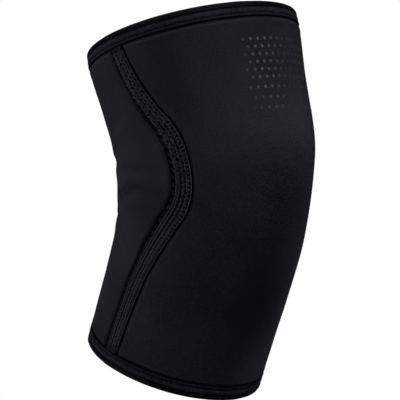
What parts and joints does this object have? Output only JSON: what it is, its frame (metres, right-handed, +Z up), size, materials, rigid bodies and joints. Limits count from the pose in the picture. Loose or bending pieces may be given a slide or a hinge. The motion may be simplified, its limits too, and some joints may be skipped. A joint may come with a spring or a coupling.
{
  "type": "knee sleeve",
  "caption": "Thick foam knee sleeve, open at both ends, in its worn, slightly bent shape, with curved seam bands at the sides and folded bindings at the rims.",
  "frame": {"origin": "the centre of the knee inside the sleeve, on the leg's axis at the middle of the bend", "axes": "+Z up the leg towards the thigh, -Y out of the front of the knee, +X to the right as seen from the front"},
  "size_m": [0.1482, 0.1695, 0.2755],
  "materials": {
    "panel_cloth": "matt black knitted cloth on foam rubber",
    "seam_tape": "matt black tape with rows of stitching",
    "binding": "matt black folded binding with a row of stitching"
  },
  "bodies": {
    "root": {"front_panel": "panel_cloth", "back_panel": "panel_cloth", "seam_band_left": "seam_tape", "seam_band_right": "seam_tape", "thigh_hem": "binding", "calf_hem": "binding"}
  },
  "joints": []
}
